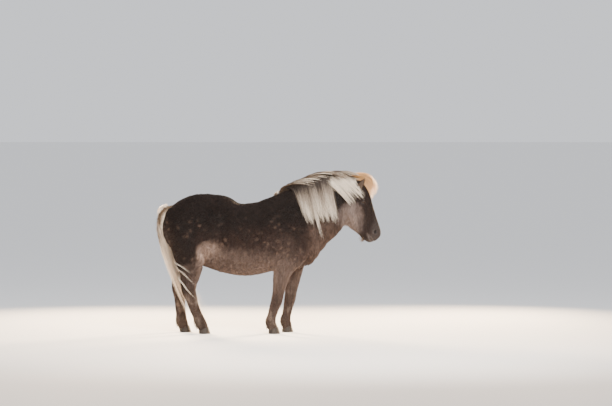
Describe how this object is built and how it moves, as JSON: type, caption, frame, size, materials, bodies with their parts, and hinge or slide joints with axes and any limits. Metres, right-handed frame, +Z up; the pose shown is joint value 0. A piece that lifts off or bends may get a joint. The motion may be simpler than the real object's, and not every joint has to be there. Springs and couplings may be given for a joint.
{
  "type": "icelandic horse",
  "caption": "Life-size standing pony-like horse in a thick dark winter coat, with a pale mane, forelock and tail, as a still model on flat hooves.",
  "frame": {"origin": "on the floor under the middle of the horse's outline", "axes": "+X towards the horse's nose, +Y to its left side, +Z up; the four soles lie on Z = 0"},
  "size_m": [2.2522, 0.6295, 1.631],
  "materials": {
    "coat": "thick winter coat",
    "hair": "long hair",
    "hoof": "horn",
    "eye": "wet gloss"
  },
  "bodies": {
    "root": {"torso": "coat", "neck": "coat", "head": "coat", "ear_left": "coat", "ear_right": "coat", "eye_left": "eye", "eye_right": "eye", "mane": "hair", "forelock": "hair", "tail": "hair", "leg_front_right_upper": "coat", "leg_front_right_lower": "coat", "hoof_front_right": "hoof", "leg_front_left_upper": "coat", "leg_front_left_lower": "coat", "hoof_front_left": "hoof", "leg_hind_right_upper": "coat", "leg_hind_right_lower": "coat", "hoof_hind_right": "hoof", "leg_hind_left_upper": "coat", "leg_hind_left_lower": "coat", "hoof_hind_left": "hoof"}
  },
  "joints": []
}
